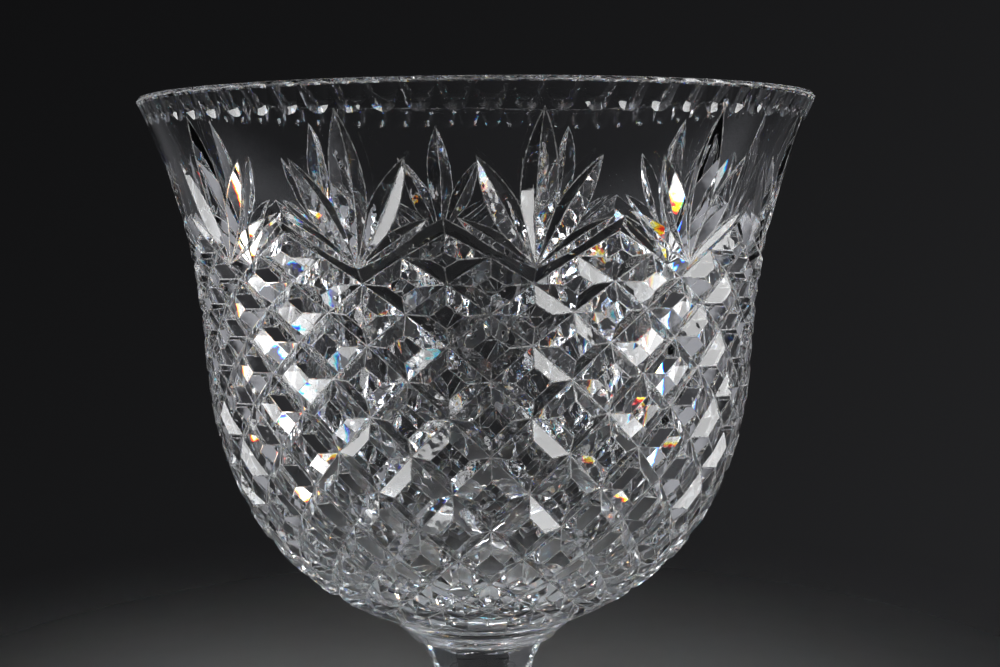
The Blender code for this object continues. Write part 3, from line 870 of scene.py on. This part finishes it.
def edge_glass_and_painted_highlight():
    """The rounded edges between two cuts: rough glass, with white matt paint in noisy marks as a painted
    highlight that catches light from all round.
    """
    made = blank_material("edge_glass_and_painted_highlight")
    tree = made.node_tree
    glass = node(tree, "ShaderNodeBsdfGlass", IOR=GLASS_IOR, Roughness=EDGE_ROUGHNESS, Color=(1.0,) * 4)
    # White matt paint in noisy marks: a painted highlight along the rounded edges
    painted_highlight = node(tree, "ShaderNodeBsdfDiffuse", Color=(*[PAINTED_HIGHLIGHT_TONE] * 3, 1.0))
    highlight_marks = between(tree, object_noise(tree, PAINTED_HIGHLIGHT_SCALE), *PAINTED_HIGHLIGHT_LEVELS)
    show(tree, blend(tree, maths(tree, "MULTIPLY", highlight_marks, PAINTED_HIGHLIGHT_SHARE), glass, painted_highlight))
    return made


def pale_floor():
    """Pale matt paint that fades out towards the dark of the studio."""
    made = bpy.data.materials.new("pale_floor")
    made.use_nodes = True
    tree = made.node_tree
    link = tree.links.new
    paint = tree.nodes["Principled BSDF"]
    grain = node(tree, "ShaderNodeTexNoise", Scale=PAINT_GRAIN, Detail=6.0)
    ramp = tree.nodes.new("ShaderNodeValToRGB")
    for element, tone in zip(ramp.color_ramp.elements, PAINT_TONES):
        element.color = tone
    link(grain.outputs["Fac"], ramp.inputs["Fac"])
    link(ramp.outputs["Color"], paint.inputs["Base Color"])
    paint.inputs["Roughness"].default_value = PAINT_ROUGHNESS

    place = tree.nodes.new("ShaderNodeTexCoord")
    distance = tree.nodes.new("ShaderNodeVectorMath")
    distance.operation = "LENGTH"
    link(place.outputs["Object"], distance.inputs[0])
    fade = between(tree, distance.outputs["Value"], *FLOOR_FADE)
    faded = blend(tree, fade, paint, tree.nodes.new("ShaderNodeBsdfTransparent"))
    link(faded.outputs[0], tree.nodes["Material Output"].inputs["Surface"])
    return made


def give_materials(piece, tint, joint, edge):
    """Fills the piece's slots in the order of JOINT_SLOT, EDGE_SLOT and CUT_SLOT."""
    piece.data.materials.append(crystal(piece.name, tint, *PLAIN_WAVES))
    piece.data.materials.append(joint)
    piece.data.materials.append(edge)
    piece.data.materials.append(crystal(piece.name + "_cuts", tint, *CUT_WAVES))


# Stage

def build_floor():
    mesh = bmesh.new()
    bmesh.ops.create_circle(mesh, cap_ends=True, segments=FLOOR_SIDES, radius=FLOOR_RADIUS)
    data = bpy.data.meshes.new("floor")
    mesh.to_mesh(data)
    mesh.free()
    floor = add_object("floor", data)
    data.materials.append(pale_floor())
    return floor


def light_only(light, receivers):
    """Keeps a lamp's light off everything but the receivers."""
    linked = bpy.data.collections.new(light.name + "_lights")
    for receiver in receivers:
        linked.objects.link(receiver)
    light.light_linking.receiver_collection = linked


def floor_pool(floor):
    """A soft pool of light on the floor, in front of the foot."""
    data = bpy.data.lights.new("floor_pool", "SPOT")
    data.energy = POOL_POWER
    data.spot_size = POOL_ANGLE
    data.spot_blend = 1.0
    data.shadow_soft_size = POOL_LAMP_RADIUS
    light = add_object("floor_pool", data)
    light.location = POOL_PLACE
    light_only(light, [floor])


def softbox(name, azimuth, distance, height, size, power, receivers):
    """A soft rectangular light that faces the bowl; the azimuth is in degrees from the camera's."""
    data = bpy.data.lights.new(name, "AREA")
    data.shape = "RECTANGLE"
    data.size, data.size_y = size
    data.energy = power
    spread_colours(data)
    light = add_object(name, data)
    light.location = on_circle(distance, CAMERA_AZIMUTH + math.radians(azimuth), height)
    light.rotation_mode = "QUATERNION"
    toward_bowl = Vector((0.0, 0.0, TOTAL_HEIGHT / 2)) - light.location
    light.rotation_quaternion = toward_bowl.to_track_quat("-Z", "Y")
    light.visible_camera = False
    light_only(light, receivers)


def edged_level(tree, place, channel, shift):
    """The level of one colour over a softbox: 1 inside and 0 outside its own soft edges.

    Red's edges are shifted to one side and blue's to the other.
    """
    level = 1.0
    for value in (place.outputs["X"], place.outputs["Y"]):
        low = channel * shift
        high = 1 - (2 - channel) * shift
        level = maths(tree, "MULTIPLY", between(tree, value, low, low + EDGE_WIDTH), level)
        level = maths(tree, "MULTIPLY", between(tree, value, high, high - EDGE_WIDTH), level)
    return level


def spread_colours(data):
    """Gives a light soft edges, and coloured ones where it is seen through the glass.

    Cut glass spreads an edge of light into a rainbow. Each colour's edge is moved a little here.
    The light is dimmed where it would be seen straight through both walls of the bowl.
    """
    data.use_nodes = True
    tree = data.node_tree
    link = tree.links.new
    emission = tree.nodes["Emission"]
    surface = tree.nodes.new("ShaderNodeNewGeometry")
    place = tree.nodes.new("ShaderNodeSeparateXYZ")
    link(surface.outputs["Parametric"], place.inputs[0])
    path = tree.nodes.new("ShaderNodeLightPath")
    faces_passed = path.outputs["Transmission Depth"]

    mixed = tree.nodes.new("ShaderNodeMix")
    mixed.data_type = "RGBA"
    link(between(tree, faces_passed, 0.0, 1.0), mixed.inputs["Factor"])
    for target, shift in (("A", 0.0), ("B", RAINBOW_SHIFT)):
        colour = tree.nodes.new("ShaderNodeCombineColor")
        for channel in range(3):
            link(edged_level(tree, place, channel, shift), colour.inputs[channel])
        link(colour.outputs[0], mixed.inputs[target])
    link(mixed.outputs["Result"], emission.inputs["Color"])

    both_walls = between(tree, faces_passed, WALL_FACES - 1.0, WALL_FACES)
    no_mirror = between(tree, path.outputs["Glossy Depth"], 1.0, 0.0)
    straight = maths(tree, "MULTIPLY", both_walls, no_mirror)
    link(maths(tree, "MULTIPLY_ADD", straight, SEEN_THROUGH - 1.0, 1.0), emission.inputs["Strength"])


def build_lights(glass, floor):
    for lamp in SOFTBOXES:
        softbox(*lamp, glass)
    floor_pool(floor)


def build_world():
    """A dark backdrop that gets lighter to the right and downwards, and a dim room round it."""
    world = bpy.data.worlds.new("studio")
    world.use_nodes = True
    tree = world.node_tree
    link = tree.links.new
    direction = tree.nodes.new("ShaderNodeTexCoord").outputs["Generated"]
    slope = tree.nodes.new("ShaderNodeVectorMath")
    slope.operation = "DOT_PRODUCT"
    slope.inputs[1].default_value = BACKDROP_SLOPE
    link(direction, slope.inputs[0])
    axes = tree.nodes.new("ShaderNodeSeparateXYZ")
    link(direction, axes.inputs[0])

    doublings = maths(tree, "POWER", 2.0, slope.outputs["Value"])
    backdrop = maths(tree, "MULTIPLY", doublings, BACKDROP_TONE)
    room = between(tree, axes.outputs["Y"], *ROOM_START)
    dim = maths(tree, "MULTIPLY_ADD", room, ROOM_TONE, backdrop)

    aside = between(tree, maths(tree, "ABSOLUTE", axes.outputs["X"]), *GLOW_ASIDE)
    low = between(tree, axes.outputs["Z"], *GLOW_BOTTOM)
    high = between(tree, axes.outputs["Z"], *GLOW_TOP)
    path = tree.nodes.new("ShaderNodeLightPath")
    unseen = between(tree, path.outputs["Is Camera Ray"], 1.0, 0.0)
    upright = maths(tree, "MULTIPLY", low, high)
    glow = maths(tree, "MULTIPLY", maths(tree, "MULTIPLY", aside, unseen), upright)
    total = maths(tree, "MULTIPLY_ADD", glow, GLOW_TONE, dim)
    tree.nodes["Background"].inputs["Color"].default_value = WORLD_TINT
    link(total, tree.nodes["Background"].inputs["Strength"])
    bpy.context.scene.world = world
    world.cycles_visibility.diffuse = False      # the floor takes light only from its pool


def build_camera():
    data = bpy.data.cameras.new("camera")
    data.lens = CAMERA_LENS
    data.sensor_width = CAMERA_SENSOR
    camera = add_object("camera", data)
    turn = Matrix.Rotation(CAMERA_AZIMUTH + CAMERA_YAW, 4, "Z")
    turn = turn @ Matrix.Rotation(CAMERA_PITCH, 4, "X") @ Matrix.Rotation(CAMERA_ROLL, 4, "Y")
    level = Matrix.Rotation(math.pi / 2, 4, "X")
    place = Matrix.Translation(on_circle(CAMERA_DISTANCE, CAMERA_AZIMUTH, CAMERA_HEIGHT))
    camera.matrix_world = place @ turn @ level
    bpy.context.scene.camera = camera


def set_look():
    scene = bpy.context.scene
    scene.view_settings.view_transform = "Standard"
    scene.cycles.max_bounces = 24
    scene.cycles.transmission_bounces = 24
    scene.cycles.glossy_bounces = 8
    scene.cycles.transparent_max_bounces = 16
    scene.cycles.sample_clamp_indirect = 6.0
    scene.cycles.use_denoising = True


def build_scene():
    pieces = [build_bowl(), build_collar(), build_stem(), build_foot()]
    joint = fused_joint()
    edge = edge_glass_and_painted_highlight()
    for piece, tint in zip(pieces, TINTS.values()):
        give_materials(piece, tint, joint, edge)
    floor = build_floor()
    build_lights(pieces, floor)
    build_world()
    build_camera()
    set_look()


build_scene()
